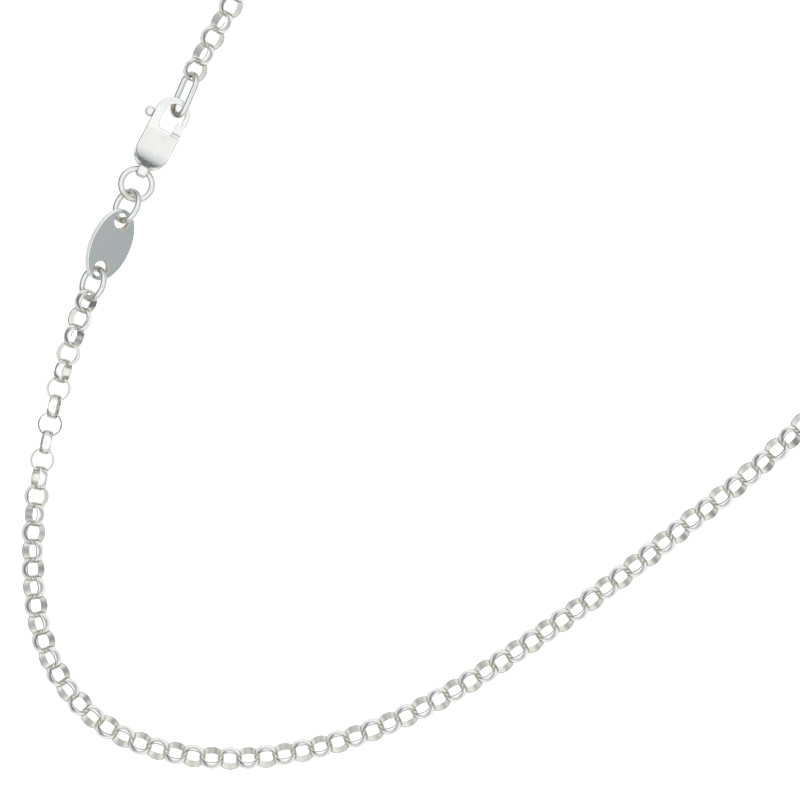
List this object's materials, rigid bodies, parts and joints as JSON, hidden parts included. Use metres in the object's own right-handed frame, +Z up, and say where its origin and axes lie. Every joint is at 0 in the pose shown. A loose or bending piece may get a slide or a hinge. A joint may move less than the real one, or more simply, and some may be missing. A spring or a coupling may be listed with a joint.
{
  "type": "rolo chain necklace",
  "caption": "Closed rolo chain of round interlocked half-round links with an oval trigger clasp, oval end link, jump rings and a plain oval tag, lying flat in a loop.",
  "frame": {"origin": "middle of the laid necklace's box, at the height of its lowest metal, on the surface it lies on", "axes": "+Z up from the surface, the shortest extent; +Y along the longest extent of the laid loop; the clasp lies on the -X side with its hook towards +Y"},
  "size_m": [0.1414, 0.1624, 0.004],
  "materials": {
    "polished_silver": "polished sterling silver",
    "satin_silver": "satin sterling silver",
    "brushed_silver": "fine satin sterling silver, rolled"
  },
  "bodies": {
    "necklace": {"rolo_chain": "polished_silver", "end_link": "polished_silver", "clasp_body": "satin_silver", "clasp_rivet": "satin_silver", "clasp_ring": "polished_silver", "tag_ring_upper": "polished_silver", "oval_tag": "brushed_silver", "tag_ring_lower": "polished_silver"},
    "lever": {"clasp_lever": "polished_silver"}
  },
  "joints": [
    {"name": "lever_pivot", "type": "hinge", "parent": "necklace", "child": "lever", "pos_m": [-0.05332, -0.00121, 0.00132], "axis": [0.0772, -0.0405, 0.9962], "range_deg": [0, 20], "stiffness_Nm_per_rad": 0.0002, "springref_deg": -11.46}
  ]
}
